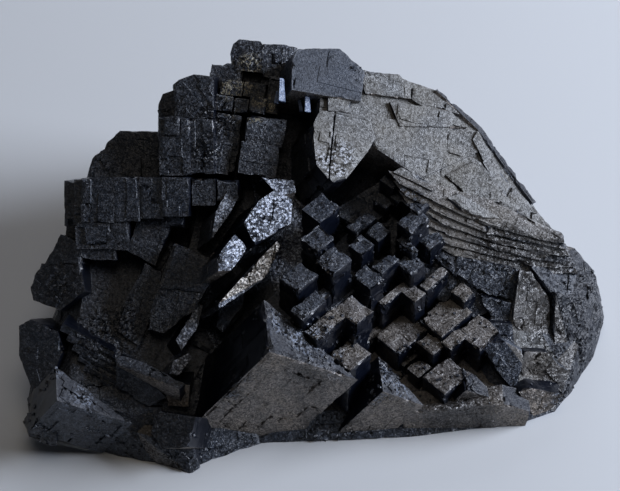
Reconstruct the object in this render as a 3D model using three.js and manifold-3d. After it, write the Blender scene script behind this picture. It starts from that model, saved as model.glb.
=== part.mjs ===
// A hand specimen of black fluorite: cubes, slabs and blades grown together into one stone.
// It lies on a flat broken base. Its crystal face looks up and to the front (-Y), the crown stands
// at the back, and the rim at the front is thin. Millimetres, +Z up.
import * as THREE from "three";
import { ConvexGeometry } from "three/addons/geometries/ConvexGeometry.js";
import { mergeVertices } from "three/addons/utils/BufferGeometryUtils.js";
import Module from "manifold-3d";

const wasm = await Module();
wasm.setup();

// Driving sizes: the lean of the crystal face from level, and the height of its middle.
const SLOPE_DEG = 38;
const MIDDLE_HEIGHT = 24.6;
// No two crystals are set quite square to each other, or end quite level.
const SKEW_DEG = 1.1;
const UNEVEN = 0.12;
// Steps finer than this are worn away.
const FINEST = 0.03;
// How far crystals reach into the stone.
const ROOT = 26;
const SHALLOW = 8;
const TERRACE_ROOT = 22;
const COLOUR = 0x17181c;

let seed = 11;
function chance() {
  seed = (seed * 16807) % 2147483647;
  return seed / 2147483647;
}
const between = (low, high) => low + (high - low) * chance();

// The crystal face's own directions: across it, up it, and straight out of it.
const slope = THREE.MathUtils.degToRad(SLOPE_DEG);
const ACROSS = new THREE.Vector3(1, 0, 0);
const UP = new THREE.Vector3(0, Math.cos(slope), Math.sin(slope));
const OUT = new THREE.Vector3(0, -Math.sin(slope), Math.cos(slope));

function direction([across, up, out]) {
  return new THREE.Vector3()
    .addScaledVector(ACROSS, across)
    .addScaledVector(UP, up)
    .addScaledVector(OUT, out)
    .normalize();
}

// The three edges of the big corner crystals.
const TO_BASE = direction([-0.55, -0.55, -0.628]);
const TO_RIGHT = direction([0.831, -0.286, -0.477]);
const TO_BACK = direction([-0.082, 0.784, -0.615]);

// A point of the crystal face, and a point given in the stone's own axes.
function place([across, up, out]) {
  return new THREE.Vector3(0, 0, MIDDLE_HEIGHT)
    .addScaledVector(ACROSS, across)
    .addScaledVector(UP, up)
    .addScaledVector(OUT, out);
}
const point = ([x, y, z]) => new THREE.Vector3(x, y, z);

function solid(geometry) {
  const bare = geometry.clone();
  bare.deleteAttribute("normal");
  bare.deleteAttribute("uv");
  const merged = mergeVertices(bare, 1e-4);
  return new wasm.Manifold(
    new wasm.Mesh({
      numProp: 3,
      vertProperties: new Float32Array(merged.attributes.position.array),
      triVerts: new Uint32Array(merged.index.array),
    }),
  );
}

const crystals = [];
const grow = (geometry) => crystals.push(solid(geometry));

function skewed(geometry) {
  const tilt = () => THREE.MathUtils.degToRad(between(-SKEW_DEG, SKEW_DEG));
  geometry.rotateX(tilt());
  geometry.rotateY(tilt());
  geometry.rotateZ(tilt());
  return geometry;
}

// Grain: the two directions in which a family of blocks is laid, and the one they face.
function grainFacing(facing, headingDeg) {
  const out = direction(facing);
  const heading = THREE.MathUtils.degToRad(headingDeg);
  const first = direction([Math.cos(heading), Math.sin(heading), 0]);
  first.addScaledVector(out, -first.dot(out)).normalize();
  return { first, second: new THREE.Vector3().crossVectors(out, first), out };
}

function grainAlong(alongFirst, alongSecond) {
  const first = direction(alongFirst);
  const second = direction(alongSecond);
  second.addScaledVector(first, -second.dot(first)).normalize();
  return { first, second, out: new THREE.Vector3().crossVectors(first, second) };
}

// Blocks laid along a grain from one corner: [from, to, from, to, height of the top, own root].
function blocks(grain, corner, root, rows) {
  for (const [x0, x1, y0, y1, top, ownRoot = root] of rows) {
    const box = new THREE.BoxGeometry(x1 - x0, y1 - y0, ownRoot).translate(0, 0, -ownRoot / 2);
    const centre = place(corner)
      .addScaledVector(grain.first, (x0 + x1) / 2)
      .addScaledVector(grain.second, (y0 + y1) / 2)
      .addScaledVector(grain.out, top);
    const turn = new THREE.Matrix4().makeBasis(grain.first, grain.second, grain.out);
    grow(skewed(box).applyMatrix4(turn.setPosition(centre)));
  }
}

// Flat plates that share one facing and one level, each given by its outline on the crystal face.
function plates(facing, through, root, outlines) {
  const inward = direction(facing).multiplyScalar(-root);
  for (const outline of outlines) {
    const points = [];
    for (const [across, up] of outline) {
      const fall = (facing[0] * (across - through[0]) + facing[1] * (up - through[1])) / facing[2];
      const top = place([across, up, through[2] - fall + between(-UNEVEN, UNEVEN)]);
      points.push(top, top.clone().add(inward));
    }
    grow(new ConvexGeometry(points));
  }
}

// A crystal that shows one corner: a triangle drawn out along the third edge.
function cornerCrystal(tip, right, back, down) {
  const top = place(tip);
  const points = [
    top,
    top.clone().addScaledVector(TO_RIGHT, right),
    top.clone().addScaledVector(TO_BACK, back),
  ];
  for (const p of points.slice()) points.push(p.clone().addScaledVector(TO_BASE, down));
  grow(new ConvexGeometry(points));
}

const lump = (points) => grow(new ConvexGeometry(points.map(place)));
const rock = (points) => grow(new ConvexGeometry(points.map(point)));

// West wall: square blocks in courses, like the wall of a castle.
plates([-0.12, -0.03, 1], [-23, 30, 0.4], ROOT, [
  [[-27.2, 32.2], [-26, 33.2], [-23, 34.2], [-19, 33.6], [-19, 25.4], [-27.2, 25.4]],
]);
plates([-0.2, 0, 1], [-29, 28, -1.6], ROOT, [
  [[-30.4, 25.2], [-30.4, 28.2], [-29.4, 30.4], [-27, 31.2], [-27, 25.2]],
]);
plates([-0.15, 0.03, 1], [-37, 20, -4.6], ROOT, [
  [[-42.4, 13.6], [-42.4, 19], [-41, 21], [-38.4, 23.2], [-30, 22.8], [-30, 13.6]],
]);
plates([-0.1, 0.06, 1], [-38, 16, -3], ROOT, [
  [[-45, 13.4], [-44, 17.6], [-42, 19.6], [-36.4, 19.2], [-34, 17.8], [-34, 13.4]],
]);
blocks(grainFacing([-0.12, -0.03, 1], 0), [-30, 14, 0], ROOT, [
  [0, 6.4, 0, 11.6, 1.2],
  [6.2, 11, 0.4, 11.4, 0.6],
  [1, 4.4, 8, 11.8, 1.7],
  [-15.4, -8.6, -9.3, -0.4, 3.3],
  [-8.8, -3.4, -9.1, -0.3, 3.2],
  [-3.6, 1.2, -8.6, -0.4, 3.2],
  [1, 6.4, -8.2, -0.3, 3.5],
  [-16.8, -15, -7.4, -0.6, 2.8],
  [-17.2, -15.2, -9.8, -5.6, 2.3],
  [-16.6, -9.6, -14.6, -9, 2.9],
  [-15.8, -8.6, -16.8, -12, 2.4],
  [-9.8, -5.8, -14.8, -8.9, 2.7],
  [-19.2, -16.2, -8.6, -0.8, 1],
  [-19.4, -15.6, -14, -6.2, -1],
  [6.6, 11.4, -6, -0.6, 1],
  [11.6, 15.8, -5, -0.8, 0],
  [0.4, 5, -10.6, -7.6, 1],
]);

// Crown: broken courses of small blocks on the highest part.
plates([-0.05, 0.1, 1], [-12, 38, -6], ROOT, [
  [[-16, 38.6], [-15.4, 40.6], [-14.2, 41.6], [-9.8, 41.2], [-9, 39.6], [-9.4, 34.6], [-15.6, 35.6]],
  [[-19.4, 33.4], [-19, 35.4], [-16.6, 36.8], [-13.8, 36.6], [-14, 33], [-18.6, 32]],
]);
plates([0.1, 0.1, 1], [-4, 38, -8], ROOT, [
  [[-9.6, 40.8], [-5, 40.8], [-2.4, 40.2], [-3, 33.4], [-9.4, 34]],
]);
blocks(grainFacing([0.05, 0.05, 1], -8), [-12, 30, -3], ROOT, [
  [-8.4, -5.3, 1, 5.6, -3],
  [-5.1, -2, 1.2, 5.4, -3.5],
  [-1.8, 4, 3.2, 6.6, -5],
  [-6, -1.6, -0.3, 2.7, -0.5],
  [-1.4, 3, 0, 2.9, -1.1],
  [-6.6, -3, -3.8, -0.6, 1.5],
  [-2.8, 0, -3.6, -0.7, 1],
  [0.2, 3.6, -3.4, 0.2, 0.8],
  [3.4, 6, -2.6, 5, -2.6],
  [-6, -1, -11, -4.2, 1],
  [-6.4, -2.2, -16.4, -10, 1.9],
  [-3.6, -0.8, -15.6, -8, 0.6],
  [0.2, 8, -9.6, -4, 2.8],
  [-0.4, 7.4, -15.8, -9.4, 3.3],
  [6.2, 9.4, -4, 1.4, -7],
  [9.6, 13, -6, 3, -9],
]);

// East slab: one broad satin face that leans to the right, in thin broken sheets.
const SATIN = [0.3, 0.28, 0.92];
const SATIN_ROOT = 18;
plates(SATIN, [12, 20, -0.6], SATIN_ROOT, [
  [[2, 29.6], [18, 34], [25.6, 31.4], [34.3, 23.4], [37, 17.6], [1.6, 20.6]],
  [[12.4, 20], [22, 13.6], [32, 9], [37, 17.6]],
  [[26, 25], [34.3, 23.4], [45.2, 8.6], [50, 0], [34, 6], [26, 12]],
]);
plates(SATIN, [12, 20, 1], SATIN_ROOT, [
  [[-3.6, 37], [-2.4, 39.4], [6, 39.6], [11, 35], [10, 29], [-3.6, 31]],
  [[0.6, 24], [2, 27], [4.9, 26.8], [4.3, 20], [3.8, 13.2], [1.4, 16]],
  [[5.2, 26.8], [12, 26], [13.2, 21.6], [12.2, 19.6], [7.4, 13.2], [4.7, 12.4], [4.1, 13.2]],
]);
plates(SATIN, [12, 20, 0.4], SHALLOW, [
  [[9, 35.5], [18, 34.5], [20.4, 32.6], [20.4, 29.6], [11, 30.6]],
  [[20.8, 32], [25.6, 31.4], [30.4, 26.6], [22.2, 28.4], [20.6, 29.5]],
  [[16, 29], [28, 27.6], [32, 24], [18, 24]],
  [[3.6, 30], [8.4, 30.4], [8, 26.6], [3.6, 27]],
  [[34.1, 23.4], [36.6, 19.4], [35.2, 17.2], [33, 21.6]],
]);
plates(SATIN, [12, 20, 0], SHALLOW, [
  [[12, 26], [24, 24.6], [34, 23], [36, 20], [22, 13.6], [12.6, 20]],
  [[34.8, 17.4], [36.4, 18], [41, 12.4], [39.4, 9.8]],
  [[39.6, 9.4], [41.2, 12], [45.4, 7.8], [52, 0], [46, 2], [43, 5.4]],
]);
// One sheet stands up from the slab like a lifted tile.
plates([0.253, 0.182, 1], [33.6, 17.5, -5.2], SHALLOW, [
  [[27.2, 14.3], [33.6, 17.5], [34.5, 17], [39.4, 9.2], [44, 4.7], [38, 6.5], [31.6, 9.8]],
]);
// The slab's back edge is bevelled.
plates([0.6, 0.5, 0.62], [34.3, 23.4, -8.5], SHALLOW, [
  [[25.6, 31.4], [26.2, 32], [31, 27.8], [35, 24], [34.3, 23.4]],
  [[34.3, 23.4], [35, 24], [41.6, 15.2], [46, 8.8], [45.2, 8.6]],
]);

// Bands: thin sheets that sweep along the foot of the east slab, each a step below the last.
const BAND_COUNT = 6;
const BAND_FACING = [0.2, 0.02, 0.97];
for (let k = 0; k < BAND_COUNT; k += 1) {
  plates(BAND_FACING, [28, 7 - 2 * k, 0.1 - 0.62 * k], 12, [
    [[15.6 + k, 15 - 2 * k], [17.8 + k, 12.3 - 2.3 * k], [25.6 + 0.6 * k, 8.4 - 2.1 * k],
      [34.8 + 0.3 * k, 4.2 - 1.55 * k], [46, 1.2 - 1.4 * k], [51.6 + 0.6 * k, 0.2 - 1.2 * k],
      [50.6 + 0.6 * k, 2.4 - k], [36, 9.4 - k]],
  ]);
}
plates([0.2, 0.1, 0.97], [20, 12, 2.2], SHALLOW, [
  [[16.6, 14.6], [18.2, 15.6], [25.2, 11.8], [24.4, 10.8]],
]);
plates([0.35, 0.3, 0.9], [32, 8.2, -0.3], 4, [
  [[27.4, 9.6], [29.2, 10.8], [32.2, 8.8], [38.2, 6.2], [37.6, 5.6], [33.8, 5.8], [30.2, 7.4]],
]);
for (let k = 0; k < 5; k += 1) {
  plates(BAND_FACING, [36, 4, -2 + between(-0.2, 0.2)], 5, [
    [[35 + 1.9 * k, 4.9], [36.7 + 1.9 * k, 4.5], [37 + 1.9 * k, 2.1], [35.3 + 1.9 * k, 2.3]],
  ]);
}
// Dull ground between the bands and the terraces.
plates([0.1, 0.05, 1], [28, -2, -3.7], SHALLOW, [
  [[23.4, 2], [30, 1], [31, -3], [29.6, -6.4], [26, -4], [23.4, -1]],
]);
plates([0.05, -0.05, 1], [33, -11, -4.9], SHALLOW, [
  [[30, -6], [34, -9], [36.4, -13.4], [33, -15], [29, -11]],
]);
plates([0.08, 0.08, 1], [20, 4, -5], 9, [
  [[6, 8], [14, 13], [20, 12], [27, 6], [30, 0], [31, -8], [27, -12], [20, -6], [6, 6]],
]);

// East end: large dull panels that turn down to the rim.
plates([0.1, -0.06, 1], [36, -6.6, -4.3], 12, [
  [[29.2, -2.1], [34, -3], [42.2, -4.6], [42.6, -6], [41, -11.3], [36.4, -10.3], [33.6, -9.3],
    [29.2, -5.5]],
]);
plates([0.2, -0.08, 1], [45, -12, -5], 11, [
  [[42.2, -5], [44.6, -5.4], [48.4, -10.6], [48.8, -15.3], [47.6, -21], [44.6, -21.4], [41, -15.3],
    [41, -11.9]],
]);
plates([0.36, -0.15, 0.93], [53, -17, -7], 11, [
  [[49.6, -9.6], [53.4, -10.4], [57, -17], [56.8, -22], [54, -26], [49.6, -22.4], [49.4, -15.8]],
]);
plates([0.45, 0.25, 0.86], [49.6, -7, -7.2], SHALLOW, [
  [[44.8, -4.4], [51, -3.6], [54.6, -6], [53.4, -10], [49.4, -10.4]],
]);
plates([0.05, -0.2, 1], [38, -13, -4.6], SHALLOW, [
  [[33.8, -9.7], [40.8, -11.7], [40.4, -15.6], [37.4, -15.2], [35.2, -12.6]],
]);
plates([0.05, -0.3, 1], [38, -16, -3.1], SHALLOW, [
  [[36, -15.6], [40.6, -15.6], [40.4, -18.2], [36.8, -18]],
]);
plates([0.1, -0.2, 1], [39, -24, -0.9], 9, [
  [[35.2, -19.1], [39, -19.3], [42.8, -21.3], [42.6, -23.9], [41.4, -28.1], [40.4, -28.5],
    [37, -24.5], [34.8, -20.9]],
]);
plates([0.2, -0.3, 1], [47, -25, -3.6], SHALLOW, [
  [[43.2, -21.4], [48, -21.6], [52.6, -26], [51, -29.6], [44, -29], [42.4, -25]],
]);
plates([0.2, -0.5, 1], [46, -31, -1], SHALLOW, [
  [[41.6, -29.4], [44, -28.6], [51, -30], [49, -33], [45, -34.6]],
]);

// Terraces: small cubes with level tops that climb from the front rim to the crown, and the
// floors between them.
blocks(grainAlong([0.707, -0.557, 0.435], [0.707, 0.557, -0.435]), [18.6, -17, -2], TERRACE_ROOT, [
  [-3, 3.5, -4.8, 3.8, 0],
  [-3.6, 0.5, 2.9, 6.2, 7],
  [-5, -3.3, -2.5, 6, 7],
  [-3, 2.8, -18.3, -12, 6.5],
  [-7.2, -3.7, -21, -12, 13],
  [-6.8, -1, -13, -8, 13],
  [-10, -5, -4.5, -0.6, 13],
  [-8.5, -6, 0, 5.3, 13],
  [-6.8, -2.4, 4.8, 9, 11.5],
  [-14.6, -9.5, -10.5, -5, 19],
  [-12, -9.9, -12.5, -4.3, 13],
  [-11, -7.5, -21, -14, 16],
  [-25.5, -20.5, -3, 3, 19, 24],
  [-11, -6.8, 9, 14.5, 17, ROOT],
  [-14.4, -10.6, -1.2, 2.6, 16],
  [-20, -15, -9, -4, 20],
  [-17, -12, -18, -12, 18],
  [-19, -16, 3, 9, 14],
  [-15, -11, 4, 8, 15],
  [-2, 0.2, 6.6, 13.3, 7],
  [1, 7.5, 3.6, 12.5, 1.5],
  [7.5, 10.5, 3, 8, 0.8],
  [8.2, 14.5, 7, 13.6, 0.7],
  [2, 6, 11.5, 15, 4],
  [3.5, 8.5, 0, 3.6, 0],
  [5.5, 9, -4.4, -0.5, -3],
  [9.7, 16, -4.3, 3.2, -2, 9],
  [2.5, 4.5, -4, 2.5, -4],
  [-20, -9, -22, 6, 9],
  [-9, -5, -20, 8, 4],
  [-5, -3, -18, 14, -1],
  [-3, 5, -12, 14, -6],
  [5, 14.5, -5, 16, -9],
  [-14, -9, 13.2, 16.6, 17.6],
  [-8, -3.8, 11.6, 16, 12.2],
  [-9.6, -4.8, 7.4, 9, 14],
  [1.5, 6, 12.2, 15.4, 2.7],
  [-19.5, -16, 13, 16.2, 19.7],
  [-19, -15.4, 10.6, 13.4, 16],
  [-16.4, -13.8, 12.6, 15.8, 17.4],
  [-20, -16, 7.4, 10.6, 13],
]);

// Corner crystals: big cubes that show a corner at the front, and the broken rim below them.
cornerCrystal([-8, -20.3, 22], 21, 12.5, 34);
cornerCrystal([14.4, -28.8, 9.5], 10, 9, 24);
cornerCrystal([31, -28.6, 5], 10, 6, 6);
cornerCrystal([-49, -30, 17], 17, 8, 12);
plates([0.05, -0.784, 0.62], [30, -33, 2.6], 5, [
  [[19, -33], [30, -32.4], [38.6, -31.6], [44, -33.4], [43, -38], [18, -40]],
]);

// West blades: thick plates on edge, leaning to the right like books on a shelf.
plates([0.02, 0.02, 1], [-26, -6, 3], SATIN_ROOT, [
  [[-27, 0.6], [-25, -0.4], [-18.6, -3.2], [-19, -6], [-23, -13], [-29, -17.4], [-32, -16.6],
    [-31.6, -12], [-28, -4]],
]);
plates([0.02, 0.02, 1], [-26, -6, 3.6], SHALLOW, [
  [[-26.8, 0.2], [-25, -0.7], [-19, -3.4], [-19.3, -5.6], [-21.6, -9.4], [-29.8, -8.4], [-28, -4]],
]);
plates([0.02, 0.05, 1], [-34, -12, 1.5], SATIN_ROOT, [
  [[-33, -3.4], [-29.6, -5], [-30.4, -11], [-32.4, -14.6], [-34, -20], [-38.4, -17], [-37, -11]],
]);
plates([-0.05, 0.05, 1], [-31, 3, 0.5], SATIN_ROOT, [
  [[-34, 6.8], [-26.6, 6], [-31, -4], [-36.6, -1]],
]);
plates([0.15, 0.2, 1], [-14, -2, -5], SATIN_ROOT, [
  [[-22, 10], [-6, 12], [-3, 8], [-6, -6], [-18, -18], [-26, -18], [-26, -8]],
]);
const BLADE = [0.35, 0.25, 0.9];
plates(BLADE, [-8, 6, 7], 13, [
  [[-7, 11], [-3.2, 9.4], [-3.8, 4.4], [-10.8, 0.2], [-13, 4.4], [-10, 9]],
]);
plates(BLADE, [-8, 6, 6], 12, [
  [[-14.7, 2.2], [-12, -0.6], [-15.4, -4.8], [-18, -5], [-18, -2]],
]);
plates(BLADE, [-8, -3, 6], 12, [
  [[-6.5, 1], [-5.8, 0], [-8.2, -5.3], [-9.2, -6.6], [-17.8, -12.4], [-18.2, -11.4]],
]);
plates([-0.1, 0.1, 1], [-15, -12, 5.4], 10, [
  [[-12.6, -8.8], [-13.4, -12], [-17.4, -17], [-18.6, -16], [-18, -12.6]],
]);
plates(BLADE, [-17, 6, 3], 12, [
  [[-16.6, 10.6], [-14, 10], [-15.8, 6.5], [-19.4, 1.2], [-18.6, 6.9]],
]);
plates(BLADE, [-24, -16, 4], 7, [
  [[-22.2, -11.6], [-21.2, -12], [-22.4, -16.4], [-25.4, -20.8], [-26.6, -18.6], [-24.4, -15.6]],
  [[-27.6, -25.2], [-27, -22.8], [-24, -21.2], [-23.4, -22.2], [-25.7, -25.4]],
]);
plates([0.2, 0.3, 0.95], [-6, 12, 4], SHALLOW, [
  [[-9.6, 13.8], [-3, 13], [-2.6, 10.6], [-6, 10]],
]);

// West lobes: blunt lumps at the left end, with narrow ledges between them.
plates([-0.35, 0.1, 0.93], [-49, -9, 0], 14, [
  [[-54, -3.4], [-46, -3.4], [-45, -9], [-50, -13], [-55.6, -11], [-56.4, -8]],
  [[-50, 2.4], [-46, 1], [-45.6, -3.4], [-54, -4.6]],
]);
plates([-0.3, 0, 0.95], [-52, -22, 4], 14, [
  [[-58, -16], [-55.6, -14.6], [-50, -17], [-49, -21], [-51, -26], [-54.4, -31], [-58, -22]],
]);
const LEDGE_COUNT = 6;
for (let k = 0; k < LEDGE_COUNT; k += 1) {
  const x = -49 + 1.2 * k;
  const y = -15.4 - 2 * k;
  plates([-0.1, -0.25, 1], [-45, -16 - 2 * k, 5.4 - 0.2 * k], 10, [
    [[x, y], [x + 10.5, y - 5.6], [x + 10, y - 7], [x - 0.6, y - 1.4]],
  ]);
}

// South-west foot: a dark block and its neighbours, where the stone ends at the front left.
plates([0, 0.5, 0.85], [-34, -23, 8], SHALLOW, [
  [[-38.4, -21.4], [-34, -22.4], [-24.4, -27], [-25.6, -28], [-32, -25.4], [-38, -23.4]],
]);
plates([-0.1, -0.35, 0.9], [-34, -25, 7.6], 12, [
  [[-38.2, -23.4], [-32, -25.8], [-28.4, -30], [-31.6, -32], [-38, -28.4]],
  [[-28.4, -27], [-23.6, -27.4], [-24, -31.8], [-28, -31.8]],
  [[-34, -32], [-29.2, -32], [-29.2, -36.6], [-34, -36]],
]);
plates([-0.4, 0.1, 0.9], [-27, -36, 9], 10, [
  [[-31, -32.4], [-22.4, -33.4], [-24, -39.4], [-29, -40], [-31.4, -37]],
]);
lump([
  [-34, -37, 6], [-23, -40, 6], [-22, -44, 4], [-24, -45.6, 4], [-32, -43, 2], [-34, -40, 2],
  [-28, -30, 0], [-22, -32, 0],
]);
lump([
  [-56, -33, 8], [-50, -32, 10], [-50, -40, 8], [-56, -38, 4], [-57, -35, 4], [-50, -30, -5],
]);

// The mass that the crystals grow from, down to the base: back, heart, west, front and east.
rock([
  [-50, -6, 0], [46, -8, 0], [57, 6, 0], [50, 18, 0], [38, 28, 0], [20, 35, 0], [-5, 37, 0],
  [-25, 33, 0], [-42, 23, 0], [-54, 8, 0],
  [-40, 18, 27], [-28, 26, 32], [-14, 34, 37], [6, 34, 37], [26, 28, 31], [40, 15, 19], [47, 8, 12],
  [-45, 6, 20], [0, -6, 8], [44, -2, 8],
]);
rock([
  [-18, -24, 0], [12, -24, 0], [14, 14, 0], [-20, 14, 0],
  [-16, -20, 9], [-4, -22, 10], [8, -18, 6], [10, 10, 17], [-16, 8, 22], [-26, 12, 26], [-12, 16, 28],
]);
rock([
  [-50, -30, 0], [-38, -34, 0], [-24, -37, 0], [-10, -31, 0], [-6, 4, 0], [-44, 12, 0],
  [-56, -8, 0], [-57, -20, 0],
  [-50, -4, 12], [-54, -14, 9], [-48, -28, 11], [-30, -30, 7], [-14, -26, 8], [-12, -4, 13],
  [-30, 6, 21], [-44, 8, 22],
]);
rock([
  [-12, -31, 0], [0, -30.5, 0], [20, -29.4, 0], [34, -27.6, 0], [44, -25.8, 0], [52.6, -18, 0],
  [57, -8, 0], [40, 4, 0], [0, 4, 0],
  [0, -27, 5], [30, -25, 4], [43, -23, 4], [51, -14, 5], [0, -6, 8], [40, 0, 9],
]);
rock([
  [36, -27.4, 0], [44, -25.8, 0], [49.4, -23.6, 0], [53, -19, 0], [58.2, -10, 0], [61, -1, 0],
  [60, 6, 0], [52, 16, 0], [30, 10, 0], [30, -20, 0],
  [36, -22, 3], [42, -21, 5], [50, -15, 6], [56, -8, 7], [60.6, -2, 5], [59, 6, 8], [55, 10, 11],
  [48, 11, 13], [40, 0, 16], [36, -10, 11],
]);

// Back and sides: rows of cubes that step down from the crest to the base.
const CREST = [
  [-56, 0, 12], [-50, 10, 24], [-40, 20, 32], [-30, 26, 38], [-14, 36, 43], [6, 35, 43],
  [26, 29, 38], [38, 20, 29], [46, 14, 21], [56, 4, 9],
];
function crest(x) {
  let i = 1;
  while (i < CREST.length - 1 && x > CREST[i][0]) i += 1;
  const [x0, y0, z0] = CREST[i - 1];
  const [x1, y1, z1] = CREST[i];
  const t = (x - x0) / (x1 - x0);
  return [y0 + t * (y1 - y0), z0 + t * (z1 - z0)];
}
// share of the crest's height, and how many cubes stand in the row
const ROWS_OF_CUBES = [[0.22, 13], [0.4, 12], [0.58, 12], [0.74, 13]];
const CREST_LEFT = -51;
const CREST_LENGTH = 103;
const CUBE_DEEP = 24;
for (const [share, count] of ROWS_OF_CUBES) {
  for (let i = 0; i < count; i += 1) {
    const x = CREST_LEFT + CREST_LENGTH * ((i + between(0.15, 0.85)) / count);
    const [y, z] = crest(x);
    const size = between(6, 11) * (1.2 - 0.35 * share);
    const cube = new THREE.BoxGeometry(size, size * between(0.7, 1.3), CUBE_DEEP);
    cube.translate(0, 0, -CUBE_DEEP / 2);
    cube.rotateX(between(-0.06, 0.06));
    cube.rotateZ(Math.PI / 4 + between(-0.1, 0.1));
    cube.translate(
      x * (0.9 + 0.06 * (1 - share)),
      y - 4 + 4 * (1 - share),
      z * share + between(-1.5, 1.5),
    );
    grow(cube);
  }
}

// All of it grown into one stone, broken off flat at the base.
let stone = wasm.Manifold.union(crystals);
const FAR = 200;
stone = stone.subtract(solid(new THREE.BoxGeometry(2 * FAR, 2 * FAR, FAR).translate(0, 0, -FAR / 2)));

// The back, where the stone was parted from its wall along three rough planes.
function cleave(through, headingDeg, leanDeg) {
  const waste = new THREE.BoxGeometry(FAR, FAR, FAR).translate(0, FAR / 2, 0);
  waste.rotateX(THREE.MathUtils.degToRad(leanDeg));
  waste.rotateZ(THREE.MathUtils.degToRad(headingDeg));
  waste.translate(...through);
  stone = stone.subtract(solid(waste));
}
cleave([0, 41, 20], 2, 7);
cleave([-30, 34, 20], 38, 12);
cleave([36, 31, 10], -34, 14);

// Crumbs that came loose at the breaks fall away: the largest piece is the stone.
const largest = stone
  .simplify(FINEST)
  .decompose()
  .sort((a, b) => b.volume() - a.volume())[0];

const { vertProperties, triVerts } = largest.getMesh();
const geometry = new THREE.BufferGeometry();
geometry.setAttribute("position", new THREE.BufferAttribute(new Float32Array(vertProperties), 3));
geometry.setIndex(new THREE.BufferAttribute(new Uint32Array(triVerts), 1));
geometry.computeBoundingBox();
const middle = geometry.boundingBox.getCenter(new THREE.Vector3());
geometry.translate(-middle.x, -middle.y, -geometry.boundingBox.min.z);
geometry.computeVertexNormals();

const fluorite = new THREE.MeshStandardMaterial({ color: COLOUR, roughness: 0.45, metalness: 0 });
const cluster = new THREE.Mesh(geometry, fluorite);
cluster.name = "fluorite_cluster";

const specimen = new THREE.Group();
specimen.add(cluster);
export default specimen;
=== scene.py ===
import math

import bmesh
import bpy
import numpy as np
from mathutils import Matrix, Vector
from mathutils.geometry import delaunay_2d_cdt


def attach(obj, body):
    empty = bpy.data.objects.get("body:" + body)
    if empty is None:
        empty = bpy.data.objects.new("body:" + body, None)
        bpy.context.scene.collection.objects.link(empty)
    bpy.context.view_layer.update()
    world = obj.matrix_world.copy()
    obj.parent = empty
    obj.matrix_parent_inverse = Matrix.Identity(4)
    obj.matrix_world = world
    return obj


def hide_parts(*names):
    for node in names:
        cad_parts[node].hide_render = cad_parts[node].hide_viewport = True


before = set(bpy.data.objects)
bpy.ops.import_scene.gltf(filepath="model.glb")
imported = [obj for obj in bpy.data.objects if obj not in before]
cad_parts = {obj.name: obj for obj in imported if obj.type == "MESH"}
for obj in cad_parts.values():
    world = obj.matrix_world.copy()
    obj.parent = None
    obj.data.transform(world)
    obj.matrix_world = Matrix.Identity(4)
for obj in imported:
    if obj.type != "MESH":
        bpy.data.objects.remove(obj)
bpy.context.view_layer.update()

# ---------------------------------------------------------------------------------------------
# The stone
# One mass of intergrown fluorite crystals, broken from the wall that it grew on. Its flat faces
# are a mosaic of small blocks that grew side by side, each a little proud of or below the next,
# with hairline cracks between them, and its edges are chipped. Sizes are in mm.
MM = 0.001

# The crystal face leans back. These are its middle, and the ways across it, up it and out of it.
SLOPE = math.radians(38)
MIDDLE = np.array([-1.5, -2.4427, 24.6])
ACROSS = np.array([1.0, 0.0, 0.0])
UP = np.array([0.0, math.cos(SLOPE), math.sin(SLOPE)])
OUT = np.array([0.0, -math.sin(SLOPE), math.cos(SLOPE)])


def face_frame(points):
    """Where points in mm lie on the crystal face: across, up and out of it."""
    local = points - MIDDLE
    return np.stack([local @ ACROSS, local @ UP, local @ OUT], axis=1)


# random values on a lattice, the same every run
NOISE_SIDE = 32
lattice = np.random.default_rng(5).random((NOISE_SIDE, NOISE_SIDE, NOISE_SIDE)) * 2 - 1


def noise(points, size, offset=0.0):
    """Smooth noise from -1 to 1 at points in mm, with bumps about size mm across."""
    scaled = points / size + offset
    cell = np.floor(scaled).astype(int)
    part = scaled - cell
    part = part * part * (3 - 2 * part)
    total = np.zeros(len(points))
    for corner in range(8):
        step = np.array([corner & 1, (corner >> 1) & 1, (corner >> 2) & 1])
        weight = np.prod(np.where(step, part, 1 - part), axis=1)
        i, j, k = ((cell + step) % NOISE_SIDE).T
        total += weight * lattice[i, j, k]
    return total


# the stone's solid, its loose triangles welded together
WELD_GAP = 2e-6
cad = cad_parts["fluorite_cluster"]
welded = bmesh.new()
welded.from_mesh(cad.data)
bmesh.ops.remove_doubles(welded, verts=welded.verts, dist=WELD_GAP)
welded.verts.index_update()
corners = np.array([v.co[:] for v in welded.verts]) / MM
triangles = np.array([[v.index for v in f.verts] for f in welded.faces])
welded.free()

sides = corners[triangles[:, 1:]] - corners[triangles[:, :1]]
crosses = np.cross(sides[:, 0], sides[:, 1])
areas = np.linalg.norm(crosses, axis=1) / 2
normals = crosses / np.maximum(2 * areas, 1e-12)[:, None]

edge_faces = {}
for index, triangle in enumerate(triangles.tolist()):
    for a, b in zip(triangle, triangle[1:] + triangle[:1]):
        edge_faces.setdefault((min(a, b), max(a, b)), []).append(index)
neighbours = [[] for _ in range(len(triangles))]
for faces in edge_faces.values():
    if len(faces) == 2:
        neighbours[faces[0]].append(faces[1])
        neighbours[faces[1]].append(faces[0])

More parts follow.
